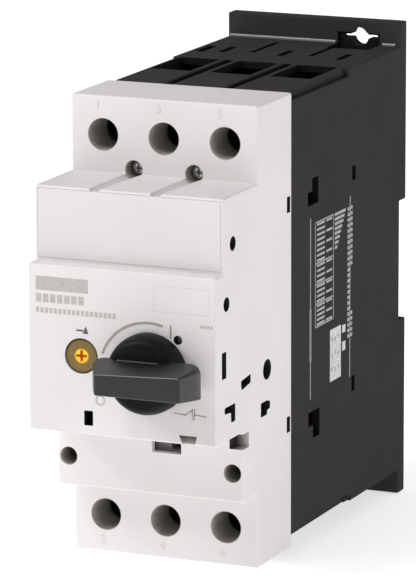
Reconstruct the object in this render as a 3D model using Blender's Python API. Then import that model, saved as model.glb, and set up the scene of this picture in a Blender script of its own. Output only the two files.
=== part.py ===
"""Three-pole motor protection breaker with a rotary handle, at real size.

Lengths below are in millimetres and are turned into metres when a mesh is made. X is across the
breaker, +Y points to the panel behind it and +Z is up. The origin lies on the floor of the
DIN-rail channel, at the middle of its width and height.
"""

from math import cos, pi, radians, sin, tau

import bmesh
import bpy
from mathutils import Vector

MM = 0.001
GAP = 0.3  # between neighbouring pieces

# Outside planes, front to back
GRIP_Y = -155.0
COVER_Y = -136.0
LABEL_Y = -131.0
STRIP_Y = -118.0
TERMINAL_Y = -107.5
SPLIT_Y = -83.5
RAIL_Y = 0.0
BACK_Y = 5.0

# Outside heights
FLANGE_Z = 70.0
BASE_Z = 63.0
HOUSING_TOP_Z = 63.0
SHELF_Z = 42.0
LABEL_LOW_Z = 21.5
COVER_LOW_Z = -24.4
STRIP_LOW_Z = -44.0
HOUSING_BOTTOM_Z = -65.0
RAIL_HALF_Z = 17.65

HOUSING_X = 27.5
BASE_X = 27.0
WALL = 2.0

# Poles and terminals
POLES = (-18.0, 0.0, 18.0)
PARTITION = 0.8  # half thickness
CHAMBER_X = 24.6
TERMINALS = ((1, 52.3), (-1, -54.3))  # side of the breaker, height of its screws
TERMINAL_HOLE_R = 4.5
TUNNEL_R = 5.8
TUNNEL_Y = -82.0
SHELF_Y = (-75.7, -74.0)
CABLE_X = (-6.4, 5.7)
CABLE_Y = (-61.2, -40.2)
CLAMP_X = 5.8
CLAMP_HALF_Z = 6.2
CLAMP_Y = (-64.5, -37.2)

# Controls on the front
HANDLE_X, HANDLE_Z = 8.8, -5.7
HUB_R = 11.0
HUB_Y = -144.0
GRIP_Z = -5.45
GRIP_SECTIONS = (  # depth, left end, right end, half height
    (-141.5, -2.6, 25.4, 4.4),
    (-143.2, -3.9, 26.2, 4.3),
    (-146.8, -3.5, 25.9, 3.9),
    (GRIP_Y, 0.8, 25.2, 2.85),
)
SHAFT_R = 4.0
DIAL_X, DIAL_Z = -11.85, -2.85
DIAL_R = 4.65
TEST_X = (-11.9, -8.2)
TEST_Z = (-22.1, -17.6)
BLANK_HOOKS = (-16.0, 16.0)

# Contacts
BAR_Y = (-46.0, -44.0)
TIP_Z = (9.5, 15.5)
BRIDGE_Y = (-36.4, -34.8)
CARRIER_TRAVEL = 4.5
RAMP_Y = -90.45
RAMP_R = (4.5, 8.0)

# Mechanism frame and latch lever
FRAME_PINS = ((-1.5, 5.5), (19.0, -16.5))
FRAME_X = (-4.0, 22.0)
FRAME_Z = (-19.0, 8.0)
LEVER_AXIS = (-111.0, 3.5)  # y, z of its pivot

# Fastenings
TOP_SCREWS = ((-8.9, 43.2), (8.9, 43.2))
LOW_SCREWS = ((-24.3, -35.8), (24.45, -36.0))
PANEL_HOLES = ((1, 14.0, 65.2), (-1, -14.0, -65.2))

PAINTS = {
    "white_plastic": ((0.83, 0.81, 0.80), 0.45, 0.0),
    "black_plastic": ((0.035, 0.033, 0.035), 0.55, 0.0),
    "handle_plastic": ((0.025, 0.025, 0.028), 0.4, 0.0),
    "grey_plastic": ((0.30, 0.30, 0.31), 0.5, 0.0),
    "dial_brass": ((0.45, 0.33, 0.12), 0.4, 0.6),
    "copper": ((0.80, 0.42, 0.25), 0.3, 1.0),
    "steel": ((0.60, 0.60, 0.62), 0.35, 1.0),
    "bimetal": ((0.55, 0.50, 0.42), 0.35, 1.0),
}


# Meshes ------------------------------------------------------------------------------------


def prism(axis, outline, low, high, mesh=None):
    """An outline of (a, b) points across an axis, extruded along it; b follows a in X, Y, Z order."""
    mesh = mesh or bmesh.new()
    index = "XYZ".index(axis)

    def corner(point, depth):
        place = list(point)
        place.insert(index, depth)
        return mesh.verts.new(place)

    first = mesh.faces.new([corner(point, low) for point in outline])
    sweep = bmesh.ops.extrude_face_region(mesh, geom=[first])
    moved = [v for v in sweep["geom"] if isinstance(v, bmesh.types.BMVert)]
    step = Vector((0, 0, 0))
    step[index] = high - low
    bmesh.ops.translate(mesh, vec=step, verts=moved)
    return mesh


def rectangle(a, b):
    return [(a[0], b[0]), (a[1], b[0]), (a[1], b[1]), (a[0], b[1])]


def block(x, y, z, mesh=None):
    return prism("Z", rectangle(x, y), *z, mesh=mesh)


def circle(x, z, radius, sides=16):
    return [
        (x + radius * cos(tau * (i + 0.5) / sides), z + radius * sin(tau * (i + 0.5) / sides))
        for i in range(sides)
    ]


def rod(x, z, radius, y, sides=16, mesh=None):
    return prism("Y", circle(x, z, radius, sides), *y, mesh=mesh)


def turned(x, z, profile, sides=16):
    """A closed profile of (y, radius) points, turned about the line along Y through x, z."""
    mesh = bmesh.new()
    points = [mesh.verts.new((x, y, z + radius)) for y, radius in profile]
    edges = [mesh.edges.new(pair) for pair in zip(points, points[1:] + points[:1])]
    if profile[0][1] == 0:
        mesh.edges.remove(edges.pop())
    bmesh.ops.spin(
        mesh,
        geom=list(mesh.verts) + edges,
        cent=(x, 0, z),
        axis=(0, 1, 0),
        angle=tau,
        steps=sides,
        use_merge=True,
    )
    bmesh.ops.remove_doubles(mesh, verts=mesh.verts, dist=0.001)
    return mesh


# Objects -----------------------------------------------------------------------------------


def clear_scene():
    for obj in list(bpy.data.objects):
        bpy.data.objects.remove(obj)


def material(name):
    found = bpy.data.materials.get(name)
    if found:
        return found
    colour, roughness, metallic = PAINTS[name]
    made = bpy.data.materials.new(name)
    made.use_nodes = True
    shader = made.node_tree.nodes["Principled BSDF"]
    shader.inputs["Base Color"].default_value = (*colour, 1)
    shader.inputs["Roughness"].default_value = roughness
    shader.inputs["Metallic"].default_value = metallic
    return made


def mesh_data(name, mesh, origin):
    """A mesh in metres around an origin in millimetres."""
    bmesh.ops.recalc_face_normals(mesh, faces=mesh.faces)
    bmesh.ops.translate(mesh, vec=-Vector(origin), verts=mesh.verts)
    bmesh.ops.scale(mesh, vec=(MM, MM, MM), verts=mesh.verts)
    data = bpy.data.meshes.new(name)
    mesh.to_mesh(data)
    mesh.free()
    return data


def piece(name, mesh, paint, origin=(0, 0, 0), smooth=False):
    """One piece, with its own origin: the point that its joint turns about or slides from."""
    obj = bpy.data.objects.new(name, mesh_data(name, mesh, origin))
    obj.location = Vector(origin) * MM
    obj.data.materials.append(material(paint))
    if smooth:
        obj.data.shade_smooth()
        obj.data.set_sharp_from_angle(angle=radians(35))
    bpy.context.scene.collection.objects.link(obj)
    return obj


def shaped(obj, operation, meshes):
    """Adds a Boolean that joins the meshes to a piece, or cuts them out of it."""
    label = f"{obj.name} {operation.lower()}"
    group = bpy.data.collections.new(label)
    bpy.context.scene.collection.children.link(group)
    for mesh in meshes:
        tool = bpy.data.objects.new(label, mesh_data(label, mesh, (0, 0, 0)))
        tool.hide_render = True
        tool.display_type = "WIRE"
        group.objects.link(tool)
    modifier = obj.modifiers.new(operation, "BOOLEAN")
    modifier.operation = operation
    modifier.operand_type = "COLLECTION"
    modifier.collection = group
    modifier.solver = "EXACT"


def coil(name, points, wire_r, paint, sides_level=0):
    curve = bpy.data.curves.new(name, "CURVE")
    curve.dimensions = "3D"
    curve.bevel_depth = wire_r * MM
    curve.bevel_resolution = sides_level
    curve.use_fill_caps = True
    spline = curve.splines.new("POLY")
    spline.points.add(len(points) - 1)
    for slot, point in zip(spline.points, points):
        slot.co = (*(Vector(point) * MM), 1)
    curve.materials.append(material(paint))
    obj = bpy.data.objects.new(name, curve)
    bpy.context.scene.collection.objects.link(obj)
    return obj


def helix(centre, axis, radius, span, turns, per_turn=8):
    """Points of a coil spring along Y or Z, from one end of its span to the other."""
    points = []
    for i in range(turns * per_turn + 1):
        angle = tau * i / per_turn
        along = span[0] + (span[1] - span[0]) * i / (turns * per_turn)
        a, b = centre[0] + radius * cos(angle), centre[1] + radius * sin(angle)
        points.append((a, along, b) if axis == "Y" else (a, b, along))
    return points


def both_sides(outline, x):
    """The same cutter through the right wall and, mirrored, through the left one."""
    return [prism("X", outline, *x), prism("X", outline, -x[1], -x[0])]


# Casings -----------------------------------------------------------------------------------


def pole_span(pole):
    left = -CHAMBER_X if pole == POLES[0] else pole - 9 + PARTITION
    right = CHAMBER_X if pole == POLES[-1] else pole + 9 - PARTITION
    return left, right


def side_z(side, low, high):
    """A height range above the middle, or its mirror below."""
    return (low, high) if side > 0 else (-high, -low)


def base_outline():
    front = SPLIT_Y + GAP
    upper = [(front, BASE_Z), (RAIL_Y, BASE_Z), (RAIL_Y, FLANGE_Z), (BACK_Y, FLANGE_Z)]
    upper += [(BACK_Y, RAIL_HALF_Z), (RAIL_Y, RAIL_HALF_Z)]
    return upper + [(y, -z) for y, z in reversed(upper)]


def base_chambers():
    inner_z = BASE_Z - WALL
    rear_y = -3.0
    cutters = []
    for pole in POLES:
        span = pole_span(pole)
        cutters.append(block(span, (SPLIT_Y - 2, rear_y), (-SHELF_Z, SHELF_Z)))
        for side, _ in TERMINALS:
            height = side_z(side, SHELF_Z - 1, inner_z)
            for y in ((SPLIT_Y - 2, SHELF_Y[0]), (SHELF_Y[1], -36.5), (-35.0, -14.0)):
                cutters.append(block(span, y, height))
    return cutters


def base_openings():
    """Everything that opens the base to the outside, top and bottom alike."""
    cutters = []
    for side, screw_z in TERMINALS:
        through = side_z(side, BASE_Z - WALL - 1, BASE_Z + 1)
        for pole in POLES:
            cutters.append(rod(pole, screw_z, 3.3, (SHELF_Y[0] - 1, SHELF_Y[1] + 1), 12))
            cable = (pole + CABLE_X[0], pole + CABLE_X[1])
            cutters.append(block(cable, CABLE_Y, through))
            cutters.append(block((pole, pole + 1.2), (-27.5, -18.0), through))
        cutters.append(block((-24.4, -22.9), (-29.0, -18.5), through))
        for x in (-9.0, 9.0):
            groove = side_z(side, BASE_Z - 1.2, BASE_Z + 1)
            cutters.append(block((x - 0.9, x + 1.1), (SPLIT_Y - 1, -40.2), groove))
            cutters.append(block((x - 0.7, x + 0.9), (-25.5, -6.0), groove))
        rebate = side_z(side, BASE_Z - 2.5, BASE_Z + 1)
        cutters += both_sides(rectangle((SPLIT_Y - 1, -40.0), rebate), (25.2, BASE_X + 1))
    for side, x, z in PANEL_HOLES:
        pocket = (x - 6.5, x + 6.5)
        cutters.append(block(pocket, (-9.0, 0.8), side_z(side, 59.0, 66.4)))
        cutters.append(rod(x, z, 2.75, (0, BACK_Y + 1)))
        cutters.append(block((x - 5.7, x + 5.7), (0, BACK_Y + 1), (z - 0.6, z + 0.6)))
    return cutters


def base_side_windows():
    upper = [(-70.5, 28.9), (-62.9, 28.9), (-62.9, 36.3), (-67.3, 36.3), (-67.3, 32.7), (-70.5, 32.7)]
    lower = [(-69.9, -34), (-66.5, -34), (-66.5, -37.8), (-61.7, -37.8), (-61.7, -30), (-69.9, -30)]
    slots = [rectangle((-37.4, -34.8), (30.5, 34.5)), rectangle((-37.4, -35.0), (-30.8, -26.4))]
    foot = rectangle((-44.5, -37.5), (-BASE_Z - 1, -BASE_Z + 1.6))
    cutters = []
    for outline in (upper, lower, *slots):
        cutters += both_sides(outline, (CHAMBER_X - 0.6, BASE_X + 1))
    return cutters + both_sides(foot, (BASE_X - 1.2, BASE_X + 1))


def clip_track():
    """The T-shaped track on the back that the rail clip slides in."""
    return [
        block((-9, 9), (3.5, BACK_Y + 1), (-FLANGE_Z - 1, -RAIL_HALF_Z + 1)),
        block((-12, 12), (1.0, 3.9), (-FLANGE_Z - 1, -RAIL_HALF_Z + 1)),
    ]


def make_base():
    base = piece("base_casing", prism("X", base_outline(), -BASE_X, BASE_X), "black_plastic")
    shaped(base, "DIFFERENCE", base_chambers() + clip_track())
    hooks = [block(x, (1.4, 4.7), (15.65, 18.5)) for x in ((-20, -8), (8, 20))]
    spring_posts = [rod(pole, 0, 3.8, (-20.0, -2.0), 12) for pole in POLES]
    bosses = [rod(x, z, 2.6, (SPLIT_Y + GAP, -70.0), 12) for x, z in TOP_SCREWS]
    bosses += [rod(x, z, 2.5, (SPLIT_Y + GAP, -74.6), 12) for x, z in LOW_SCREWS]
    clip_post = block((-2.2, 2.2), (0.5, 3.6), (-49.0, -46.0))
    shaped(base, "UNION", [*hooks, *spring_posts, *bosses, clip_post])
    holes = [rod(x, z, 1.8, (SPLIT_Y - 1, -71.0), 10) for x, z in TOP_SCREWS]
    holes += [rod(x, z, 1.8, (SPLIT_Y - 1, -75.4), 10) for x, z in LOW_SCREWS]
    windows = base_openings() + base_side_windows()
    shaped(base, "DIFFERENCE", holes + windows)


def housing_outline(inset=0.0):
    """The stepped side outline of the white housing, or of the hollow in it."""
    step = 2 * inset if inset else 0  # the label ledge holds the blank plate, so it is thicker
    return [
        (SPLIT_Y + inset, HOUSING_TOP_Z - inset),
        (TERMINAL_Y + inset, HOUSING_TOP_Z - inset),
        (TERMINAL_Y + inset, SHELF_Z - inset),
        (LABEL_Y + step, SHELF_Z - inset),
        (LABEL_Y + step, LABEL_LOW_Z - inset),
        (COVER_Y + inset, LABEL_LOW_Z - inset),
        (COVER_Y + inset, COVER_LOW_Z + inset),
        (STRIP_Y + inset, COVER_LOW_Z + inset),
        (STRIP_Y + inset, STRIP_LOW_Z + inset),
        (TERMINAL_Y + inset, STRIP_LOW_Z + inset),
        (TERMINAL_Y + inset, HOUSING_BOTTOM_Z + inset),
        (SPLIT_Y + inset, HOUSING_BOTTOM_Z + inset),
    ]


def housing_tubes():
    tubes = []
    for _, z in TERMINALS:
        tubes += [rod(pole, z, TUNNEL_R, (TERMINAL_Y + 1, TUNNEL_Y)) for pole in POLES]
    tubes += [rod(x, z, 4.2, (TERMINAL_Y + 1, -100.0), 12) for x, z in TOP_SCREWS]
    tubes += [rod(x, z, 3.0, (STRIP_Y + 1, -103.6), 12) for x, z in LOW_SCREWS]
    frame_pins = [rod(x, z, 1.2, (COVER_Y + 1, -130.5), 8) for x, z in FRAME_PINS]
    return tubes + frame_pins


def housing_front_holes():
    cutters = []
    for _, z in TERMINALS:
        cutters += [rod(pole, z, TERMINAL_HOLE_R, (TERMINAL_Y - 1, TUNNEL_Y + 1)) for pole in POLES]
    for x, z in TOP_SCREWS:
        cutters.append(rod(x, z, 2.6, (TERMINAL_Y - 1, -102.2), 12))
        cutters.append(rod(x, z, 1.8, (-103.0, -99.0), 10))
    for x, z in LOW_SCREWS:
        cutters.append(rod(x, z, 2.45, (STRIP_Y - 1, -105.7), 12))
        cutters.append(rod(x, z, 1.8, (-106.5, -81.0), 10))
    cutters.append(block((0.7, 9.3), (STRIP_Y - 1, STRIP_Y + WALL + 1), (-32.5, -25.0)))
    cutters.append(rod(HANDLE_X, HANDLE_Z, SHAFT_R + 0.6, (COVER_Y - 1, COVER_Y + WALL + 1)))
    cutters.append(rod(DIAL_X, DIAL_Z, DIAL_R + GAP, (COVER_Y - 1, COVER_Y + WALL + 1)))
    cutters.append(rod(16.5, 4.0, 1.25, (COVER_Y - 1, COVER_Y + WALL + 1), 10))
    cutters.append(block(TEST_X, (COVER_Y - 1, COVER_Y + WALL + 1), TEST_Z))
    dovetail = [(17.9, -25.0), (21.1, -25.0), (21.9, -21.9), (16.7, -21.9)]
    cutters.append(prism("Y", dovetail, COVER_Y - 1, COVER_Y + 1.2))
    return cutters


def blank_recess():
    """The recess of the accessory plate, its two latch slots, and the tapered grooves above it."""
    cutters = [block((-26.8, 26.8), (LABEL_Y - 1, LABEL_Y + 2.3), (22.2, 41.3))]
    for x in BLANK_HOOKS:
        cutters.append(block((x - 2.2, x + 2.2), (LABEL_Y, LABEL_Y + 6), (29.2, 34.8)))
    for x, z in TOP_SCREWS:
        mesh = bmesh.new()
        rings = []
        for y, (a, b), radius in (
            (TERMINAL_Y + 0.5, (x, z), 2.5),
            (LABEL_Y - 1, (x - 1.0, SHELF_Z + 0.5), 1.75),
        ):
            rings.append([mesh.verts.new((p, y, q)) for p, q in circle(a, b, radius, 12)])
        mesh.faces.new(rings[0])
        mesh.faces.new(rings[1])
        for i in range(12):
            j = (i + 1) % 12
            mesh.faces.new((rings[0][i], rings[0][j], rings[1][j], rings[1][i]))
        cutters.append(mesh)
    return cutters


def housing_side_windows():
    flap = [(-119.1, -10.0), (-112.6, -9.3), (-112.6, -11.5), (-118.5, -12.7)]
    hook = [(-130.2, -16.5), (-126, -16.9), (-125.8, -19.7), (-123.2, -19.7), (-123.2, -15), (-130.2, -15)]
    flag = [(-105.3, -23), (-101.1, -23), (-101.1, -21.8), (-99, -21.8), (-99, -19.8)]
    flag += [(-101.1, -19.2), (-105.3, -19.2)]
    slot = rectangle((-132.0, -129.0), (-6.7, 0.4))
    clips = [rectangle((-86.9, -84.6), (30.2, 34.5)), rectangle((-86.9, -84.6), (-31.5, -27.3))]
    rounds = [(-124.6, 28.9, 2.0), (-128.9, 13.2, 2.0), (-101.0, -10.5, 2.75)]
    wall = (HOUSING_X - WALL - 0.6, HOUSING_X + 1)
    cutters = []
    for outline in (flap, hook, flag, slot, *clips):
        cutters += both_sides(outline, wall)
    for y, z, radius in rounds:
        cutters += both_sides(circle(y, z, radius, 12), wall)
    cutters.append(block((HOUSING_X - 1.1, HOUSING_X + 1), (STRIP_Y - 1, -113.7), (-29.3, -24.9)))
    return cutters


def make_housing():
    shell = prism("X", housing_outline(), -HOUSING_X, HOUSING_X)
    housing = piece("front_housing", shell, "white_plastic")
    hollow = housing_outline(WALL)
    hollow[0] = (SPLIT_Y + 2, HOUSING_TOP_Z - WALL)
    hollow[-1] = (SPLIT_Y + 2, HOUSING_BOTTOM_Z + WALL)
    inside = HOUSING_X - WALL
    shaped(housing, "DIFFERENCE", [prism("X", hollow, -inside, inside)])
    shaped(housing, "UNION", housing_tubes())
    shaped(housing, "DIFFERENCE", housing_front_holes() + blank_recess() + housing_side_windows())


def make_blank_plate():
    y = (LABEL_Y, LABEL_Y + 2.0)
    plate = piece("accessory_blank_plate", block((-26.5, 26.5), y, (22.5, 41.0)), "white_plastic")
    hooks = [block((x - 1.8, x + 1.8), (LABEL_Y + 1, LABEL_Y + 5.2), (29.6, 34.4)) for x in BLANK_HOOKS]
    shaped(plate, "UNION", hooks)


# Front controls ------------------------------------------------------------------------------


def grip_mesh():
    """The finger bar, thinner to the front. Its left end slants back to a pointer."""
    mesh = bmesh.new()
    rings = []
    for y, left, right, half in GRIP_SECTIONS:
        corners = [(left, -half), (right, -half), (right, half), (left, half)]
        rings.append([mesh.verts.new((x, y, GRIP_Z + z)) for x, z in corners])
    mesh.faces.new(rings[0])
    mesh.faces.new(rings[-1])
    for one, two in zip(rings, rings[1:]):
        for i in range(4):
            j = (i + 1) % 4
            mesh.faces.new((one[i], one[j], two[j], two[i]))
    return mesh


def make_handle():
    rear = COVER_Y - GAP
    hub = [(rear, 0), (rear, HUB_R), (rear - 1.2, HUB_R)]
    hub += [(COVER_Y - 1.5 - 6 * sin(a), 8.3 + 2.7 * cos(a)) for a in (radians(30), radians(60))]
    hub += [(HUB_Y, 8.2), (HUB_Y, 0)]
    pivot = (HANDLE_X, COVER_Y, HANDLE_Z)
    mesh = turned(HANDLE_X, HANDLE_Z, hub, 24)
    handle = piece("rotary_handle", mesh, "handle_plastic", pivot, smooth=True)
    shaped(handle, "UNION", [grip_mesh()])
    shaped(handle, "DIFFERENCE", [rod(HANDLE_X, HANDLE_Z, SHAFT_R + GAP, (COVER_Y + 2, COVER_Y - 4))])


def ramp_mesh():
    """A helical ramp on the shaft's rear face. It falls by the carrier's travel over 90 degrees."""
    mesh = bmesh.new()
    steps = [-12, 0, *range(10, 91, 10), 102]
    rings = []
    for degrees in steps:
        fall = CARRIER_TRAVEL * min(max(degrees, 0), 90) / 90
        angle = radians(90 + degrees)
        ring = []
        for radius, y in (
            (RAMP_R[0], -96.0),
            (RAMP_R[1], -96.0),
            (RAMP_R[1], RAMP_Y - fall),
            (RAMP_R[0], RAMP_Y - fall),
        ):
            ring.append(
                mesh.verts.new((HANDLE_X + radius * cos(angle), y, HANDLE_Z + radius * sin(angle)))
            )
        rings.append(ring)
    mesh.faces.new(rings[0])
    mesh.faces.new(rings[-1])
    for one, two in zip(rings, rings[1:]):
        for i in range(4):
            j = (i + 1) % 4
            mesh.faces.new((one[i], one[j], two[j], two[i]))
    return mesh


def make_shaft():
    profile = [(-139.6, 0), (-139.6, SHAFT_R), (-97.5, SHAFT_R), (-97.5, 8.6), (-95.5, 8.6), (-95.5, 0)]
    pivot = (HANDLE_X, -97.5, HANDLE_Z)
    shaft = piece("handle_shaft", turned(HANDLE_X, HANDLE_Z, profile), "grey_plastic", pivot, smooth=True)
    shaped(shaft, "UNION", [ramp_mesh()])


def make_dial():
    profile = [(COVER_Y + 0.3, 0), (COVER_Y + 0.3, DIAL_R), (-133.6, DIAL_R), (-133.6, 6.3)]
    profile += [(-132.4, 6.3), (-132.4, 2.0), (-116.0, 2.0), (-116.0, 0)]
    pivot = (DIAL_X, COVER_Y, DIAL_Z)
    dial = piece("setting_dial", turned(DIAL_X, DIAL_Z, profile), "dial_brass", pivot, smooth=True)
    depth = (COVER_Y - 1, COVER_Y + 1.9)
    across = block((DIAL_X - 3.3, DIAL_X + 3.3), depth, (DIAL_Z - 0.8, DIAL_Z + 0.8))
    upright = block((DIAL_X - 0.8, DIAL_X + 0.8), depth, (DIAL_Z - 3.3, DIAL_Z + 3.3))
    shaped(dial, "DIFFERENCE", [across, upright])


def make_test_slide():
    x = (-11.0, -9.2)
    outline = [(-91.0, -29.0), (-88.0, -29.0), (-88.0, -18.6), (-131.0, -18.6)]
    outline += [(-131.0, -21.0), (-91.0, -21.0)]
    piece("test_slide", prism("X", outline, *x), "grey_plastic", (-10.1, -131, -19.8))


# Mechanism -----------------------------------------------------------------------------------


def make_frame():
    sheet = 1.2
    left, right = FRAME_X
    front = COVER_Y + WALL + GAP
    rear = -100.0
    outline = [(left, rear), (left, front), (right, front), (right, rear)]
    outline += [(right - sheet, rear), (right - sheet, front + sheet)]
    outline += [(left + sheet, front + sheet), (left + sheet, rear)]
    frame = piece("mechanism_frame", prism("Z", outline, *FRAME_Z), "steel")
    web = (front - 1, front + sheet + 1)
    holes = [rod(HANDLE_X, HANDLE_Z, SHAFT_R + 0.5, web)]
    holes += [rod(x, z, 1.6, web, 8) for x, z in FRAME_PINS]
    holes.append(prism("X", circle(*LEVER_AXIS, 1.6, 10), left - 1, right + 1))
    shaped(frame, "DIFFERENCE", holes)


def make_latch():
    y, z = LEVER_AXIS
    plate = [(y - 9, z - 1.0), (y + 9, z - 1.0), (y + 9, z + 0.6)]
    plate += [(y + 1.5, z + 1.5), (y - 1.5, z + 1.5), (y - 9, z + 0.6)]
    lever = piece("latch_lever", prism("X", plate, -2.0, 20.0), "steel", (HANDLE_X, y, z))
    shaped(lever, "UNION", [prism("X", circle(y, z, 1.2, 10), FRAME_X[0] - 1, FRAME_X[1] + 1)])


def make_trip_slide():
    """A bar across the poles with one finger beside each bimetal strip, and a lug for the test slide."""
    bar = block((-23.0, 23.0), (-87.3, -84.3), (-31.5, -25.0))
    slide = piece("trip_slide", bar, "grey_plastic", (0, -85.8, -28.2))
    fingers = [block((x + 1.9, x + 3.1), (-85.0, -80.5), (-31.0, -25.5)) for x in POLES]
    lug = block((-13.2, -11.4), (-91.0, -86.0), (-29.0, -25.5))
    shaped(slide, "UNION", [*fingers, lug])


def make_carrier():
    bar = block((-21.2, 21.2), (-88.0, -84.0), (0.5, 8.0))
    carrier = piece("contact_carrier", bar, "grey_plastic", (0, -86, 0))
    reach = (-84.6, BRIDGE_Y[0] - GAP)
    fingers = [block((x - 3.0, x + 3.0), reach, (-3.5, 3.5)) for x in POLES]
    nose = [(HANDLE_X + cos(a), -89.0 - sin(a)) for a in (pi * i / 6 for i in range(7))]
    nose += [(HANDLE_X - 1, -87.0), (HANDLE_X + 1, -87.0)]
    shaped(carrier, "UNION", [*fingers, prism("Z", nose, 0.9, 2.4)])


# Current path --------------------------------------------------------------------------------


def make_line_bar(number, pole):
    rear = BAR_Y[1]
    outline = [(-60.0, 58.5), (-60.0, 37.5), (BAR_Y[0], 37.5), (BAR_Y[0], 8.0), (rear, 8.0)]
    outline += [(rear, TIP_Z[0]), (rear + 2.3, TIP_Z[0]), (rear + 2.3, TIP_Z[1]), (rear, TIP_Z[1])]
    outline += [(rear, 39.5), (-58.0, 39.5), (-58.0, 58.5)]
    piece(f"line_contact_bar_{number}", prism("X", outline, pole - 4, pole + 4), "copper")


def make_load_bar(number, pole):
    rear = BAR_Y[1]
    outline = [(BAR_Y[0], -8.0), (BAR_Y[0], -21.0), (-54.0, -21.0), (-54.0, -23.0), (rear, -23.0)]
    outline += [(rear, -TIP_Z[1]), (rear + 2.3, -TIP_Z[1]), (rear + 2.3, -TIP_Z[0])]
    outline += [(rear, -TIP_Z[0]), (rear, -8.0)]
    piece(f"load_contact_bar_{number}", prism("X", outline, pole - 4, pole + 4), "copper")


def make_terminal_bar(number, pole):
    outline = [(-60.0, -60.2), (-58.0, -60.2), (-58.0, -43.5), (-46.5, -43.5), (-46.5, -33.0)]
    outline += [(-48.5, -33.0), (-48.5, -41.5), (-60.0, -41.5)]
    piece(f"load_terminal_bar_{number}", prism("X", outline, pole - 4, pole + 4), "copper")


def make_bridge(number, pole):
    front, rear = BRIDGE_Y
    outline = [(rear, -16.0), (rear, 16.0), (front, 16.0), (front, TIP_Z[1]), (front - 1, TIP_Z[1])]
    outline += [(front - 1, TIP_Z[0]), (front, TIP_Z[0]), (front, -TIP_Z[0]), (front - 1, -TIP_Z[0])]
    outline += [(front - 1, -TIP_Z[1]), (front, -TIP_Z[1]), (front, -16.0)]
    mesh = prism("X", outline, pole - 3.5, pole + 3.5)
    piece(f"contact_bridge_{number}", mesh, "copper", (pole, rear, 0))


def make_contact_spring(number, pole):
    points = helix((pole, 0), "Y", 2.6, (BRIDGE_Y[1] + GAP + 0.5, -20.8), 5)
    coil(f"contact_spring_{number}", points, 0.45, "steel")


def make_chute(number, pole, side):
    """A stack of arc-splitting plates that stand on a common back."""
    back, mouth = -8.0, -33.0
    pitch = 3.6
    outline = [(back, 19.0)]
    for i in range(5):
        low = 19.0 + pitch * i
        outline += [(mouth, low), (mouth, low + 1.2)]
        if i < 4:
            outline += [(back - 2, low + 1.2), (back - 2, low + pitch)]
    outline.append((back, outline[-1][1]))
    word = "upper" if side > 0 else "lower"
    outline = [(y, side * z) for y, z in outline]
    piece(f"arc_chute_{word}_{number}", prism("X", outline, pole - 6, pole + 6), "steel")


def make_trip_unit(number, pole):
    x, z = pole - 1.2, -32.0
    winding = [(-74.0, 5.0), (-56.0, 5.0), (-56.0, 3.3), (-74.0, 3.3)]
    piece(f"trip_coil_{number}", turned(x, z, winding, 14), "copper", (x, -65, z), smooth=True)
    core = [(-80.0, 0), (-80.0, 1.0), (-75.0, 1.0), (-75.0, 2.7), (-58.0, 2.7), (-58.0, 0)]
    piece(f"trip_plunger_{number}", turned(x, z, core, 12), "steel", (x, -75, z), smooth=True)


def make_bimetal(number, pole):
    x = pole + 5.35
    outline = [(x, -83.6), (x + 0.9, -83.6), (x + 0.9, -49.0), (x - 4, -49.0), (x - 4, -49.9), (x, -49.9)]
    hinge = (x + 0.45, -49.5, -28.2)
    piece(f"bimetal_strip_{number}", prism("Z", outline, -31.3, -25.2), "bimetal", hinge)


def make_terminal(number, pole, side, z):
    word = "line" if side > 0 else "load"
    profile = [(-80.2, 0), (-80.2, 4.2), (-76.0, 4.2), (-76.0, 2.7), (-62.0, 2.7), (-62.0, 0)]
    mesh = turned(pole, z, profile, 14)
    screw = piece(f"{word}_terminal_screw_{number}", mesh, "steel", (pole, -76, z), smooth=True)
    slot = block((pole - 5, pole + 5), (-81.0, -78.6), (z - 0.6, z + 0.6))
    shaped(screw, "DIFFERENCE", [slot])
    front, rear = CLAMP_Y
    height = (z - CLAMP_HALF_Z, z + CLAMP_HALF_Z)
    body = block((pole - CLAMP_X, pole + CLAMP_X), CLAMP_Y, height)
    clamp = piece(f"{word}_box_clamp_{number}", body, "steel", (pole, front, z))
    window = block((pole - 4.6, pole + 4.6), (front + 3, rear - 2.4), (height[0] - 1, height[1] + 1))
    thread = rod(pole, z, 2.8, (front - 1, front + 4), 12)
    shaped(clamp, "DIFFERENCE", [window, thread])


def make_pole(number, pole):
    make_line_bar(number, pole)
    make_load_bar(number, pole)
    make_terminal_bar(number, pole)
    make_bridge(number, pole)
    make_contact_spring(number, pole)
    make_trip_unit(number, pole)
    make_bimetal(number, pole)
    for side, z in TERMINALS:
        make_chute(number, pole, side)
        make_terminal(number, pole, side, z)


# Fastenings ----------------------------------------------------------------------------------


def make_housing_screw(name, x, z, head_y, tip_y):
    profile = [(head_y, 0), (head_y, 2.1), (head_y + 2, 2.1), (head_y + 2, 1.5), (tip_y, 1.5), (tip_y, 0)]
    screw = piece(name, turned(x, z, profile, 12), "steel", (x, head_y, z), smooth=True)
    shaped(screw, "DIFFERENCE", [block((x - 3, x + 3), (head_y - 1, head_y + 1), (z - 0.4, z + 0.4))])


def make_housing_screws():
    for word, (x, z) in zip(("left", "right"), TOP_SCREWS):
        make_housing_screw(f"housing_screw_upper_{word}", x, z, -104.5, -72.0)
    for word, (x, z) in zip(("left", "right"), LOW_SCREWS):
        make_housing_screw(f"housing_screw_lower_{word}", x, z, -108.0, -76.0)


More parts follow.
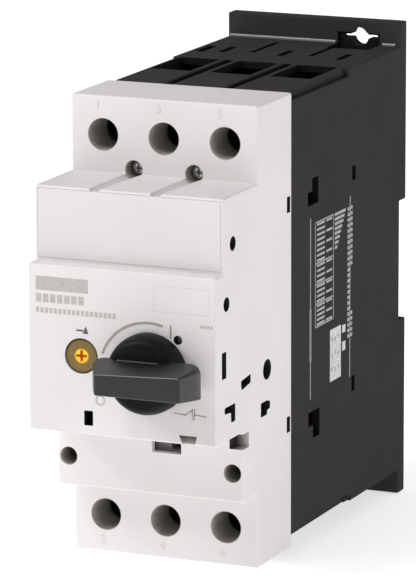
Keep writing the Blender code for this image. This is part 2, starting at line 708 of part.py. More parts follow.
def make_din_clip():
    body = block((-8.6, 8.6), (2.8, 4.7), (-69.5, -15.6))
    clip = piece("din_clip", body, "grey_plastic", (0, 2.5, -45))
    wings = block((-11.6, 11.6), (1.3, 3.6), (-66.0, -20.0))
    lip = block((-8.5, 8.5), (1.3, 4.0), (-22.0, -15.6))
    shaped(clip, "UNION", [wings, lip])
    window = block((-2.6, 2.6), (0, 6), (-50.0, -34.0))
    pull_slot = block((-4, 4), (0, 6), (-67.5, -65.5))
    shaped(clip, "DIFFERENCE", [window, pull_slot])
    points = helix((0, 2.55), "Z", 0.9, (-45.2, -34.8), 6)
    coil("din_clip_spring", points, 0.3, "steel")


def main():
    clear_scene()
    make_base()
    make_housing()
    make_blank_plate()
    make_handle()
    make_shaft()
    make_dial()
    make_test_slide()
    make_frame()
    make_latch()
    make_trip_slide()
    make_carrier()
    for number, pole in enumerate(POLES, start=1):
        make_pole(number, pole)
    make_housing_screws()
    make_din_clip()


main()
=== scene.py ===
"""Looks of the three-pole motor protection breaker: its moulded shells, controls, prints, fastenings
and conductors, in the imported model's frame. Lengths are millimetres in that frame and are turned into
metres when a mesh is made; only texture scales and bump distances are in metres. +Y points to the wall
and +Z is up.
"""

from math import cos, pi, radians, sin, tau

import bmesh
import bpy
from mathutils import Matrix, Vector


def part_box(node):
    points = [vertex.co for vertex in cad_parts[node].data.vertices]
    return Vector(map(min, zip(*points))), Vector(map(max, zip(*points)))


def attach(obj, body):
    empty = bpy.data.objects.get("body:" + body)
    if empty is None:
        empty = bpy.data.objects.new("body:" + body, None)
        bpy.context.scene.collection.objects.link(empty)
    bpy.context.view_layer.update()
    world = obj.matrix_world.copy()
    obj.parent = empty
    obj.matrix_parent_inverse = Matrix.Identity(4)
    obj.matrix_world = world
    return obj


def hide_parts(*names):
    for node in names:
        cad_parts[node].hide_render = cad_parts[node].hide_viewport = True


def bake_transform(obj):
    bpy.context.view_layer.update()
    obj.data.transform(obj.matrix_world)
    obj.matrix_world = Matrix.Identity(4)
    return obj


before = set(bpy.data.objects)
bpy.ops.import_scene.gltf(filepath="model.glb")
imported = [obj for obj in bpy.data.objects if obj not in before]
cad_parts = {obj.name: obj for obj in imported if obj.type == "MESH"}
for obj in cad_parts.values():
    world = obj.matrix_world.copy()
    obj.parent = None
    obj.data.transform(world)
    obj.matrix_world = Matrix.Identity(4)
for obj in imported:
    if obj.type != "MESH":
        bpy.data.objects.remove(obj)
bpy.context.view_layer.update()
MM = 0.001


def extent(node):
    """A node's lowest and highest corner, in millimetres."""
    low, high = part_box(node)
    return low / MM, high / MM


# Main planes, taken from the frame
HOUSING_LOW, HOUSING_HIGH = extent("front_housing")
BASE_LOW, BASE_HIGH = extent("base_casing")
HOUSING_X = HOUSING_HIGH.x
BASE_X = BASE_HIGH.x
COVER_Y = HOUSING_LOW.y
BASE_FRONT_Y = BASE_LOW.y
SPLIT_Y = BASE_FRONT_Y - 0.3
BACK_Y = BASE_HIGH.y
FLANGE_Z = BASE_HIGH.z
HOUSING_TOP_Z = HOUSING_HIGH.z
HOUSING_BOTTOM_Z = HOUSING_LOW.z
GRIP_Y = extent("rotary_handle")[0].y

# Steps of the housing, as in the CAD
RAIL_Y = 0.0
LABEL_Y = COVER_Y + 5
STRIP_Y = COVER_Y + 18
TERMINAL_Y = COVER_Y + 28.5
BASE_Z = 63.0
SHELF_Z = 42.0
LABEL_LOW_Z = 21.5
COVER_LOW_Z = -24.4
STRIP_LOW_Z = -44.0
RAIL_HALF_Z = 17.65
WALL = 2.0
EDGE = 0.55  # radius of the shells' outer edges
LIP = 0.22  # radius at the mouth of an opening
COVER_INSIDE_Y = COVER_Y + WALL + 1

POLES = (-18.0, 0.0, 18.0)
PARTITIONS = (-9.0, 9.0)
HALF_PITCH = 9.0
PARTITION = 0.8  # half the thickness of the wall between two poles
CHAMBER_X = 24.6
TERMINALS = ((1, 52.3), (-1, -54.3))
TERMINAL_HOLE_R = 4.38
TUNNEL_R = 5.8
TUNNEL_Y = -82.0
SHELF_Y = (-75.7, -74.0)
CABLE_X = (-6.4, 5.7)
CABLE_Y = (-61.2, -40.2)

HANDLE_X, HANDLE_Z = 8.8, -5.7
HUB_X, HUB_Z = 8.5, -5.45
HUB_R = 11.0
HUB_Y = COVER_Y - 7.5
DISC = (8.1, -4.1, 6.85)  # x, z and radius of the raised disc on the hub
DISC_Y = COVER_Y - 8
GRIP_Z = -5.45
GRIP_SECTIONS = (  # depth, left end, right end, half height, rise of the right end, radius of its corner
    (COVER_Y - 5.5, -2.6, 25.4, 4.4, 0.5, 2.6),
    (COVER_Y - 7.2, -3.9, 26.2, 4.3, 0.5, 2.4),
    (COVER_Y - 10.8, -3.5, 26.0, 3.9, 0.5, 1.2),
    (GRIP_Y, 0.6, 25.1, 2.9, 1.0, 0.5),
)
DIAL_X, DIAL_Z = -11.85, -2.85
DIAL_R = 4.65
TEST_X = (-11.05, -8.55)
TEST_Z = (-21.75, -17.75)
TOP_SCREWS = ((-8.9, 43.2), (8.9, 43.2))
LOW_SCREWS = ((-24.3, -35.8), (24.45, -36.0))
TERMINAL_SCREW_SIZE = (4.2, 4.2, 2.7, 1.0)  # radius and depth of the head, radius and pitch of the shank
HOUSING_SCREW_SIZE = (2.1, 2.0, 1.5, 0.6)
SCREW_WELL_R = 2.5
SHANK_HOLE_R = 1.8
PANEL_HOLE_R = 2.75
PLATE_X = (-26.8, 26.8)
PLATE_Z = (22.2, 41.3)
PLATE_GAP = 0.07  # between the blank plate and its recess, all round
PLATE_HOOKS = (-16.0, 16.0)
RIB_Y = (-113.4, -110.0)
PANEL_HOLES = ((1, 14.0, 65.2), (-1, -14.0, -65.2))


# ---- Outlines ----


def rectangle(a, b):
    return [(a[0], b[0]), (a[1], b[0]), (a[1], b[1]), (a[0], b[1])]


def angles(degrees):
    return [radians(d) for d in degrees]


def circle(a, b, radius, sides=48):
    return [(a + radius * cos(tau * i / sides), b + radius * sin(tau * i / sides)) for i in range(sides)]


def signed_area(outline):
    pairs = zip(outline, outline[1:] + outline[:1])
    return sum(p[0] * q[1] - q[0] * p[1] for p, q in pairs) / 2


def grown(outline, distance):
    """The outline with every side moved outwards, its corners kept sharp."""
    turn = 1 if signed_area(outline) > 0 else -1
    count = len(outline)
    result = []
    for i, point in enumerate(outline):
        before, after = outline[i - 1], outline[(i + 1) % count]
        normals = []
        for p, q in ((before, point), (point, after)):
            along = Vector((q[0] - p[0], q[1] - p[1])).normalized()
            normals.append(Vector((along.y, -along.x)) * turn)
        middle = normals[0] + normals[1]
        shift = middle * (2 * distance / middle.length_squared)
        result.append((point[0] + shift.x, point[1] + shift.y))
    return result


def eased(outline, radius, steps=4):
    """The outline with rounded corners."""
    result = []
    count = len(outline)
    for i, point in enumerate(outline):
        corner = Vector(point)
        before = Vector(outline[i - 1]) - corner
        after = Vector(outline[(i + 1) % count]) - corner
        reach = min(radius, before.length * 0.45, after.length * 0.45)
        start = corner + before.normalized() * reach
        end = corner + after.normalized() * reach
        for k in range(steps + 1):
            t = k / steps
            result.append(tuple(start * (1 - t) ** 2 + corner * (2 * t * (1 - t)) + end * t * t))
    return result


# ---- Meshes ----


def place(axis, point, depth):
    """A point of an outline across an axis, with its depth along that axis."""
    spot = list(point)
    spot.insert("XYZ".index(axis), depth)
    return spot


def skin(mesh, rows):
    """Faces from each row of vertices to the next, and a flat face at both ends."""
    for one, two in zip(rows, rows[1:]):
        for i in range(len(one)):
            j = (i + 1) % len(one)
            mesh.faces.new((one[i], one[j], two[j], two[i]))
    mesh.faces.new(rows[0])
    mesh.faces.new(rows[-1])
    return mesh


def loft(axis, rings, mesh=None):
    """A closed skin through rings of (outline, depth)."""
    mesh = mesh or bmesh.new()
    rows = [[mesh.verts.new(place(axis, p, depth)) for p in outline] for outline, depth in rings]
    return skin(mesh, rows)


def prism(axis, outline, low, high):
    return loft(axis, [(outline, low), (outline, high)])


def block(x, y, z):
    return prism("Z", rectangle(x, y), *z)


def rod(x, z, radius, y, sides=40):
    return prism("Y", circle(x, z, radius, sides), *y)


def softened(mesh, radius, segments=3, sharper_than=50):
    """Rounds the convex edges of a mesh."""
    bmesh.ops.recalc_face_normals(mesh, faces=mesh.faces)
    sharp = [
        e for e in mesh.edges
        if len(e.link_faces) == 2 and e.calc_face_angle_signed(0) > radians(sharper_than)
    ]
    bmesh.ops.bevel(
        mesh, geom=sharp, offset=radius, segments=segments, profile=0.5, affect="EDGES",
        clamp_overlap=True,
    )
    return mesh


def opening(axis, outline, face, end, lip=LIP, beyond=0.6):
    """A cutter from outside a face inwards to its end, flared so that the mouth gets a rounded edge."""
    inward = 1 if end > face else -1
    rings = [(grown(outline, lip), face - inward * beyond)]
    for angle in angles((0, 30, 60, 90)):
        rings.append((grown(outline, lip * (1 - sin(angle))), face + inward * lip * (1 - cos(angle))))
    rings.append((outline, end))
    return loft(axis, rings)


def turned(x, z, profile, sides=48):
    """A profile of (y, radius) points turned about the line along Y through x, z."""
    mesh = bmesh.new()
    rows = []
    for y, radius in profile:
        if radius == 0:
            rows.append([mesh.verts.new((x, y, z))])
        else:
            rows.append([mesh.verts.new((a, y, b)) for a, b in circle(x, z, radius, sides)])
    for one, two in zip(rows, rows[1:]):
        for i in range(sides):
            j = (i + 1) % sides
            ring = [one[i % len(one)], one[j % len(one)], two[j % len(two)], two[i % len(two)]]
            corners = list(dict.fromkeys(ring))
            if len(corners) > 2:
                mesh.faces.new(corners)
    if len(rows[0]) > 1 and len(rows[-1]) > 1:
        for i in range(sides):
            j = (i + 1) % sides
            mesh.faces.new((rows[-1][i], rows[-1][j], rows[0][j], rows[0][i]))
    return mesh


def tube(points, radius, sides=10):
    """A round wire along a list of points, with its own frames and flat ends."""
    mesh = bmesh.new()
    rows = []
    side = None
    for i, point in enumerate(points):
        ahead = points[min(i + 1, len(points) - 1)] - points[max(i - 1, 0)]
        ahead.normalize()
        if side is None:
            side = ahead.orthogonal().normalized()
        side = (side - ahead * side.dot(ahead)).normalized()
        other = ahead.cross(side)
        rows.append([
            mesh.verts.new(point + (side * cos(tau * k / sides) + other * sin(tau * k / sides)) * radius)
            for k in range(sides)
        ])
    return skin(mesh, rows)


def helix(centre, axis, radius, span, turns, per_turn=20, closed_turns=0.8):
    """Points of a coil with close turns at both ends, as on a compression spring."""
    points = []
    total = int(turns * per_turn)
    edge = closed_turns / turns
    for i in range(total + 1):
        t = i / total
        eased_t = min(max((t - edge) / (1 - 2 * edge), 0), 1)
        share = 0.12 * t + 0.88 * eased_t
        along = span[0] + (span[1] - span[0]) * share
        angle = tau * turns * t
        a, b = centre[0] + radius * cos(angle), centre[1] + radius * sin(angle)
        points.append(Vector((a, along, b)) if axis == "Y" else Vector((a, b, along)))
    return points


# ---- Objects ----


def to_data(name, mesh):
    bmesh.ops.recalc_face_normals(mesh, faces=mesh.faces)
    bmesh.ops.scale(mesh, vec=(MM, MM, MM), verts=mesh.verts)
    data = bpy.data.meshes.new(name)
    mesh.to_mesh(data)
    mesh.free()
    return data


def new_object(name, data):
    obj = bpy.data.objects.new(name, data)
    bpy.context.scene.collection.objects.link(obj)
    return obj


def raw_object(name, mesh, material):
    obj = new_object(name, to_data(name, mesh))
    obj.data.materials.append(material)
    return obj


def evaluated(obj):
    """A mesh of what the object's modifiers or its text make of it."""
    bpy.context.view_layer.update()
    graph = bpy.context.evaluated_depsgraph_get()
    return bpy.data.meshes.new_from_object(obj.evaluated_get(graph))


def shaped(obj, operation, meshes, material=None):
    """Joins meshes to an object, or cuts them out. New walls take the tools' material if it is given."""
    group = bpy.data.collections.new("tools")
    bpy.context.scene.collection.children.link(group)
    tools = []
    for mesh in meshes:
        tool = bpy.data.objects.new("tool", to_data("tool", mesh))
        tool.data.materials.append(material or obj.data.materials[0])
        group.objects.link(tool)
        tools.append(tool)
    modifier = obj.modifiers.new(operation, "BOOLEAN")
    modifier.operation = operation
    modifier.operand_type = "COLLECTION"
    modifier.collection = group
    modifier.solver = "EXACT"
    modifier.material_mode = "TRANSFER"
    data = evaluated(obj)
    obj.modifiers.clear()
    obj.data = data
    for tool in tools:
        bpy.data.objects.remove(tool)
    bpy.data.collections.remove(group)


def finished(obj, body, replaces=(), sharp=38, weighted=True):
    """Smooth shading with flat faces kept flat, and the piece's place in the frame."""
    obj.data.shade_smooth()
    obj.data.set_sharp_from_angle(angle=radians(sharp))
    if weighted:
        modifier = obj.modifiers.new("flat faces", "WEIGHTED_NORMAL")
        modifier.keep_sharp = True
        modifier.weight = 80
    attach(obj, body)
    if replaces:
        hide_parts(*replaces)


# ---- Materials ----


def linear(red, green, blue):
    """An sRGB colour of 0 to 255 as linear values."""
    values = [c / 255 for c in (red, green, blue)]
    return tuple(v / 12.92 if v <= 0.04045 else ((v + 0.055) / 1.055) ** 2.4 for v in values)


class Nodes:
    """A material's node tree, with short calls for the nodes used here."""

    def __init__(self, name):
        self.material = bpy.data.materials.new(name)
        self.material.use_nodes = True
        self.tree = self.material.node_tree
        self.shader = self.tree.nodes["Principled BSDF"]
        self.space = self.add("ShaderNodeTexCoord").outputs["Object"]

    def add(self, kind, inputs=(), **settings):
        node = self.tree.nodes.new(kind)
        for key, value in settings.items():
            setattr(node, key, value)
        for key, value in inputs:
            node.inputs[key].default_value = value
        return node

    def link(self, start, end):
        self.tree.links.new(start, end)

    def feed(self, socket, value):
        """Gives an input a number, a colour or another node's output."""
        if isinstance(value, (int, float)):
            socket.default_value = value
        elif isinstance(value, tuple):
            socket.default_value = (*value, 1)
        else:
            self.link(value, socket)

    def noise(self, scale, detail=3.0, roughness=0.55, stretch=None):
        texture = [("Scale", scale), ("Detail", detail), ("Roughness", roughness)]
        node = self.add("ShaderNodeTexNoise", texture)
        source = self.space
        if stretch:
            mapping = self.add("ShaderNodeMapping", [("Scale", stretch)])
            self.link(self.space, mapping.inputs["Vector"])
            source = mapping.outputs["Vector"]
        self.link(source, node.inputs["Vector"])
        return node.outputs["Fac"]

    def ramp(self, source, *stops):
        node = self.add("ShaderNodeValToRGB")
        node.color_ramp.elements.remove(node.color_ramp.elements[1])
        node.color_ramp.elements[0].position = stops[0][0]
        node.color_ramp.elements[0].color = (*stops[0][1], 1)
        for position, colour in stops[1:]:
            node.color_ramp.elements.new(position).color = (*colour, 1)
        self.link(source, node.inputs["Fac"])
        return node.outputs["Color"]

    def span(self, source, low, high, start=0.0, end=1.0):
        limits = [("From Min", low), ("From Max", high), ("To Min", start), ("To Max", end)]
        node = self.add("ShaderNodeMapRange", limits)
        self.link(source, node.inputs["Value"])
        return node.outputs["Result"]

    def mix(self, factor, first, second):
        node = self.add("ShaderNodeMix", data_type="RGBA")
        for index, value in ((0, factor), (6, first), (7, second)):  # the inputs of its colour mode
            self.feed(node.inputs[index], value)
        return node.outputs[2]

    def bump(self, height, strength, distance, below=None):
        node = self.add("ShaderNodeBump", [("Strength", strength), ("Distance", distance)])
        self.link(height, node.inputs["Height"])
        if below:
            self.link(below, node.inputs["Normal"])
        return node.outputs["Normal"]

    def set(self, **inputs):
        for name, value in inputs.items():
            self.feed(self.shader.inputs[name.replace("_", " ")], value)


def moulded(name, colour, shade, rough, grain_strength=0.12, gloss=0.5):
    """Injection-moulded plastic: spark-eroded grain, soft clouding and a slightly uneven gloss."""
    nodes = Nodes(name)
    clouds = nodes.noise(55, 2)
    fine = nodes.noise(2600, 2, 0.6)
    worn = nodes.noise(420, 4, 0.65)
    tone = nodes.ramp(clouds, (0.3, shade), (0.7, colour))
    nodes.set(Base_Color=nodes.mix(nodes.span(worn, 0.35, 0.75, 0.0, 0.18), tone, shade))
    nodes.set(Roughness=nodes.span(worn, 0.25, 0.8, rough - 0.06, rough + 0.08))
    soft = nodes.bump(clouds, 0.05, 0.0006)
    nodes.set(Normal=nodes.bump(fine, grain_strength, 0.00012, soft), Specular_IOR_Level=gloss)
    return nodes.material


def painted_depth_shade(name, span, *stops, axis="Y"):
    """A hole's wall: plastic with painted shade that changes along an axis, with stops of (place, red, green,
    blue).
    """
    nodes = Nodes(name)
    split = nodes.add("ShaderNodeSeparateXYZ")
    nodes.link(nodes.space, split.inputs["Vector"])
    depth = nodes.span(split.outputs[axis], span[0] * MM, span[1] * MM)
    dust = nodes.noise(700, 4, 0.6)
    tone = nodes.ramp(depth, *((at, linear(*colour)) for at, *colour in stops))
    nodes.set(Base_Color=nodes.mix(nodes.span(dust, 0.4, 0.8, 0.0, 0.18), tone, linear(20, 20, 20)))
    nodes.set(Roughness=nodes.span(dust, 0.3, 0.7, 0.45, 0.62))
    nodes.set(Normal=nodes.bump(dust, 0.08, 0.0001))
    return nodes.material


def metal(name, colour, shade, rough, stretch=(1, 1, 1)):
    """Rolled or plated metal with fine drawn lines and a few darker stains."""
    nodes = Nodes(name)
    lines = nodes.noise(900, 3, 0.6, stretch)
    stains = nodes.noise(140, 4, 0.6)
    nodes.set(Base_Color=nodes.mix(nodes.span(stains, 0.35, 0.75), colour, shade))
    nodes.set(Roughness=nodes.span(lines, 0.3, 0.7, rough - 0.07, rough + 0.1))
    nodes.set(Normal=nodes.bump(lines, 0.18, 0.00008), Metallic=1.0)
    return nodes.material


def dial_material():
    """The setting dial: bronze-coloured face with turned rings, bright yellow in its recess."""
    nodes = Nodes("dial_bronze")
    shift = nodes.add("ShaderNodeMapping", [("Location", (-DIAL_X * MM, 0, -DIAL_Z * MM))])
    nodes.link(nodes.space, shift.inputs["Vector"])
    flat = nodes.add("ShaderNodeVectorMath", [(1, (1, 0, 1))], operation="MULTIPLY")
    nodes.link(shift.outputs["Vector"], flat.inputs[0])
    length = nodes.add("ShaderNodeVectorMath", operation="LENGTH")
    nodes.link(flat.outputs["Vector"], length.inputs[0])
    radius = nodes.span(length.outputs["Value"], 0, DIAL_R * MM)
    bronze = nodes.ramp(
        radius,
        (0.0, linear(215, 110, 12)),
        (0.10, linear(240, 155, 16)),
        (0.18, linear(255, 210, 36)),
        (0.38, linear(250, 204, 32)),
        (0.46, linear(126, 100, 42)),
        (0.88, linear(118, 96, 48)),
        (0.97, linear(66, 54, 30)),
    )
    cast = nodes.noise(500, 3)
    nodes.set(Base_Color=nodes.mix(nodes.span(cast, 0.4, 0.8, 0.0, 0.3), bronze, linear(96, 78, 36)))
    nodes.set(Roughness=nodes.span(cast, 0.3, 0.7, 0.32, 0.5))
    rings = nodes.add("ShaderNodeMath", operation="SINE")
    fast = nodes.add("ShaderNodeMath", [(1, 90)], operation="MULTIPLY")
    nodes.link(radius, fast.inputs[0])
    nodes.link(fast.outputs[0], rings.inputs[0])
    nodes.set(Normal=nodes.bump(rings.outputs[0], 0.12, 0.00005), Metallic=0.35)
    return nodes.material


def ink(name, colour, worn):
    """Pad-printed ink, slightly broken up by the grain under it."""
    nodes = Nodes(name)
    spots = nodes.noise(1800, 3, 0.6)
    nodes.set(Base_Color=nodes.mix(nodes.span(spots, 0.45, 0.75), linear(*colour), linear(*worn)))
    nodes.set(Roughness=nodes.span(spots, 0.3, 0.7, 0.5, 0.65))
    nodes.set(Normal=nodes.bump(spots, 0.06, 0.00005))
    return nodes.material


WHITE = moulded("housing_white", (0.735, 0.708, 0.704), (0.70, 0.675, 0.67), 0.5)
PLATE_WHITE = moulded("blank_plate_white", (0.69, 0.665, 0.665), (0.66, 0.637, 0.637), 0.5)
BLACK = moulded("casing_black", (0.0425, 0.0385, 0.0402), (0.0372, 0.0338, 0.0352), 0.6, 0.2, 0.01)
# Painted highlight: a lighter, glossier copy of the black plastic for edges and fillets that catch the light.
BLACK_HIGHLIGHT = moulded("casing_black_painted_highlight", (0.085, 0.08, 0.085), (0.07, 0.066, 0.07), 0.3, gloss=0.6)
HANDLE = moulded("handle_black", (0.0070, 0.0064, 0.0075), (0.0050, 0.0046, 0.0055), 0.4, 0.1, 0.45)
# Painted shade: a darker copy of the handle's black, with a dimmer reflection, for the hub and its disc.
HUB_SHADE = moulded("hub_black_painted_shade", (0.0050, 0.0045, 0.0052), (0.0035, 0.003, 0.0038), 0.46, 0.1, 0.12)
# Painted shade: the base's chambers, cable entries, slots, pockets and side windows, darker than its black
# plastic.
HOLLOW_SHADE = moulded("casing_inside_painted_shade", (0.0035, 0.003, 0.0032), (0.0025, 0.002, 0.0022), 0.7, gloss=0.2)
# Painted shade: the white housing's inner walls and the walls of its side windows and small holes are near
# black.
INSIDE_SHADE = moulded("housing_inside_painted_shade", (0.020, 0.019, 0.018), (0.014, 0.013, 0.013), 0.65, gloss=0.3)
GREY = moulded("inner_grey", (0.20, 0.20, 0.205), (0.16, 0.16, 0.165), 0.5)
# Painted shade on the walls of the terminal holes and upper screw holes: grey for the first 11 mm, nearly
# black from about 12.6 mm in.
TUNNEL_SHADE = painted_depth_shade(
    "tunnel_painted_shade", (TERMINAL_Y, TERMINAL_Y + 16),
    (0.0, 168, 164, 158), (0.25, 172, 169, 162), (0.7, 188, 184, 176), (0.79, 14, 13, 12),
)
# Painted shade on the walls of the lower screw wells: grey at the mouth, darker with depth.
WELL_SHADE = painted_depth_shade(
    "screw_well_painted_shade", (STRIP_Y, STRIP_Y + 12),
    (0.0, 182, 178, 172), (0.5, 144, 140, 134), (1.0, 66, 64, 62),
)
NOTCH = painted_depth_shade(
    "notch_shade", (23.6, 27.5),
    (0.0, 40, 38, 37), (0.3, 120, 115, 112), (1.0, 205, 200, 198),
    axis="X",
)
DOVETAIL = painted_depth_shade(
    "dovetail_shade", (-24.6, -21.9),
    (0.0, 218, 214, 212), (0.5, 165, 160, 157), (1.0, 70, 66, 64),
    axis="Z",
)
# Painted shade: grey instead of the housing's white for the inner ribs seen through the strip's window.
RIB_SHADE = moulded("rib_painted_shade", (0.34, 0.33, 0.32), (0.28, 0.27, 0.265), 0.55)
COPPER = metal("copper_strip", (0.80, 0.40, 0.24), (0.55, 0.25, 0.15), 0.3, (1, 1, 8))
STEEL = metal("zinc_steel", (0.62, 0.62, 0.64), (0.45, 0.45, 0.46), 0.32, (6, 1, 1))
SCREW = metal("screw_steel", (0.74, 0.75, 0.78), (0.58, 0.58, 0.60), 0.24)
# Painted shade: a darker copy of the screw steel for the lower housing screws deep in their wells.
SCREW_SHADE = metal("screw_steel_painted_shade", (0.18, 0.18, 0.185), (0.11, 0.11, 0.11), 0.4)
BIMETAL = metal("bimetal_strip", (0.58, 0.50, 0.38), (0.42, 0.36, 0.28), 0.34, (1, 10, 1))
DIAL = dial_material()
DIAL_CROSS = moulded("dial_cross", linear(232, 128, 10), linear(210, 104, 8), 0.5)
PRINT_GREY = ink("print_grey", (150, 144, 138), (184, 180, 176))
PRINT_FAINT = ink("print_faint", (176, 170, 166), (198, 194, 190))
PRINT_DARK = ink("print_dark", (70, 66, 64), (120, 116, 112))
PRINT_PALE = ink("print_pale", (206, 201, 200), (214, 210, 209))
PRINT_LABEL = ink("print_label", (176, 172, 174), (120, 116, 118))
PRINT_BRIGHT = ink("print_bright", (214, 211, 212), (160, 156, 157))


# ---- Housing ----


def housing_outline(inset=0.0):
    upper = [(SPLIT_Y, HOUSING_TOP_Z), (TERMINAL_Y, HOUSING_TOP_Z), (TERMINAL_Y, SHELF_Z)]
    upper += [(LABEL_Y + inset, SHELF_Z), (LABEL_Y + inset, LABEL_LOW_Z), (COVER_Y, LABEL_LOW_Z)]
    lower = [(COVER_Y, COVER_LOW_Z), (STRIP_Y, COVER_LOW_Z), (STRIP_Y, STRIP_LOW_Z)]
    lower += [(TERMINAL_Y, STRIP_LOW_Z), (TERMINAL_Y, HOUSING_BOTTOM_Z), (SPLIT_Y, HOUSING_BOTTOM_Z)]
    return [(y + inset, z - inset) for y, z in upper] + [(y + inset, z + inset) for y, z in lower]


def both_sides(outline, half_width, depth, lip=0.1):
    """The same opening in the right wall and, mirrored, in the left one."""
    return [opening("X", outline, side * half_width, side * (half_width - depth), lip) for side in (1, -1)]


def housing_tubes():
    tubes = []
    for _, z in TERMINALS:
        tubes += [rod(pole, z, TUNNEL_R, (TERMINAL_Y + 1, TUNNEL_Y)) for pole in POLES]
    tubes += [rod(x, z, 4.2, (TERMINAL_Y + 1, -100.0)) for x, z in TOP_SCREWS]
    tubes += [rod(x, z, 3.0, (STRIP_Y + 1, -103.6)) for x, z in LOW_SCREWS]
    tubes.append(block((16.0, 23.0), (COVER_Y + 1.5, COVER_Y + 4.5), (-24.0, -21.0)))  # behind the dovetail
    tubes.append(block((22.0, 27.0), (STRIP_Y + 1, -112.0), (-31.0, -22.5)))  # behind the notch
    return tubes


def screw_hole(x, z, face, seat, end, lip):
    """The well down to a screw's seat, and the hole for its shank."""
    well = opening("Y", circle(x, z, SCREW_WELL_R, 40), face, seat, lip)
    return [well, rod(x, z, SHANK_HOLE_R, (seat - 0.8, end), 24)]


def tunnel_cutters():
    cutters = [
        opening("Y", circle(pole, z, TERMINAL_HOLE_R), TERMINAL_Y, TUNNEL_Y + 1, 0.18)
        for _, z in TERMINALS for pole in POLES
    ]
    for x, z in TOP_SCREWS:
        cutters += screw_hole(x, z, TERMINAL_Y, -102.2, -99.0, 0.15)
    return cutters


def well_cutters():
    cutters = []
    for x, z in LOW_SCREWS:
        cutters += screw_hole(x, z, STRIP_Y, -105.7, -81.0, 0.12)
    return cutters


def driver_grooves():
    """Tapered round grooves along the shelf, in line with the housing screws."""
    cutters = []
    for x, z in TOP_SCREWS:
        rear, front = circle(x, z, 2.6, 40), circle(x - 1.0, SHELF_Z + 0.46, 1.76, 40)
        cutters.append(loft("Y", [(rear, TERMINAL_Y - 0.1), (front, LABEL_Y - 0.6)]))
    return cutters


def dovetail_cutter():
    """The wedge-shaped notch at the cover's lower edge; its floor slopes down into the cover."""
    outline = [(17.9, -25.0), (21.1, -25.0), (21.9, -21.9), (16.7, -21.9)]
    mesh = bmesh.new()
    front = [mesh.verts.new((x, COVER_Y - 1, z)) for x, z in outline]
    rear = [mesh.verts.new((x, COVER_Y + (1.2 if z < COVER_LOW_Z else 3.0), z)) for x, z in outline]
    return skin(mesh, [front, rear])


def corner_notches():
    """A blind notch where the front strip's right edge lies under the cover."""
    return [block((23.6, HOUSING_X + 1), (STRIP_Y - 1, -113.7), (-29.2, -24.9))]


def cover_cutters():
    window = eased(rectangle((0.7, 9.3), (-32.2, -25.0)), 0.3)
    return [
        opening("Y", circle(HANDLE_X, HANDLE_Z, 4.6), COVER_Y, COVER_INSIDE_Y),
        opening("Y", circle(DIAL_X, DIAL_Z, DIAL_R + 0.22, 64), COVER_Y, COVER_INSIDE_Y, 0.12),
        opening("Y", window, STRIP_Y, STRIP_Y + WALL + 1, 0.15),
    ]


def small_hole_cutters():
    """The round hole beside the handle and the slot of the test slide."""
    outlines = (circle(16.5, 4.0, 1.2, 32), eased(rectangle(TEST_X, TEST_Z), 0.25))
    return [opening("Y", outline, COVER_Y, COVER_INSIDE_Y, 0.06) for outline in outlines]


def recess_cutters():
    """The blank plate's recess, and the slots for its hooks."""
    cutters = [opening("Y", rectangle(PLATE_X, PLATE_Z), LABEL_Y, LABEL_Y + 2.3, 0.08)]
    for x in PLATE_HOOKS:
        cutters.append(block((x - 2.2, x + 2.2), (LABEL_Y + 1, LABEL_Y + 6), (29.2, 34.8)))
    return cutters


def side_cutters():
    """The coupling windows that both sides of the housing share."""
    flap = [(-119.1, -10.0), (-118.7, -12.4), (-112.6, -11.5), (-112.6, -9.3)]
    hook = [(-130.2, -16.5), (-126, -16.9), (-125.8, -19.7), (-123.2, -19.7), (-123.2, -15), (-130.2, -15)]
    flag = [(-105.3, -23), (-101.1, -23), (-101.1, -21.8), (-99, -21.6), (-99, -19.8), (-101.1, -19.2)]
    flag.append((-105.3, -19.2))
    slot = rectangle((-132.0, -129.2), (-6.7, 0.4))
    outlines = [eased(outline, 0.35) for outline in (flap, hook, flag, slot)]
    for y, z, radius in ((-124.6, 28.9, 1.9), (-128.9, 13.2, 1.9), (-101.0, -10.5, 2.75)):
        outlines.append(circle(y, z, radius, 32))
    for z in (32.35, -29.4):
        outlines.append(rectangle((-86.9, -84.7), (z - 2.15, z + 2.15)))
    return [cutter for outline in outlines for cutter in both_sides(outline, HOUSING_X, WALL + 0.6)]


def make_housing():
    shell = softened(prism("X", housing_outline(), -HOUSING_X, HOUSING_X), EDGE)
    housing = raw_object("housing_shell", shell, WHITE)
    hollow = housing_outline(WALL)
    hollow[0] = (SPLIT_Y + 2, hollow[0][1])
    hollow[-1] = (SPLIT_Y + 2, hollow[-1][1])
    inside = HOUSING_X - WALL
    # The hollow inside, its walls near black as painted shade.
    shaped(housing, "DIFFERENCE", [prism("X", hollow, -inside, inside)], INSIDE_SHADE)
    shaped(housing, "UNION", housing_tubes())
    # Two inner ribs of the housing, grey as painted shade.
    for x, top in (((-0.2, 4.7), -21.0), ((4.6, 10.5), -32.3)):  # what shows in the strip's window
        shaped(housing, "UNION", [block(x, RIB_Y, (STRIP_LOW_Z + 1, top))], RIB_SHADE)
    # Terminal holes and upper screw holes, their walls in painted shade.
    shaped(housing, "DIFFERENCE", tunnel_cutters(), TUNNEL_SHADE)
    # Lower screw wells, their walls in painted shade.
    shaped(housing, "DIFFERENCE", well_cutters(), WELL_SHADE)
    # Side windows and small holes, their walls near black as painted shade.
    shaped(housing, "DIFFERENCE", side_cutters() + small_hole_cutters(), INSIDE_SHADE)
    shaped(housing, "DIFFERENCE", [dovetail_cutter()], DOVETAIL)
    shaped(housing, "DIFFERENCE", corner_notches(), NOTCH)
    shaped(housing, "DIFFERENCE", driver_grooves() + cover_cutters() + recess_cutters())
    finished(housing, "casing", ["front_housing"])


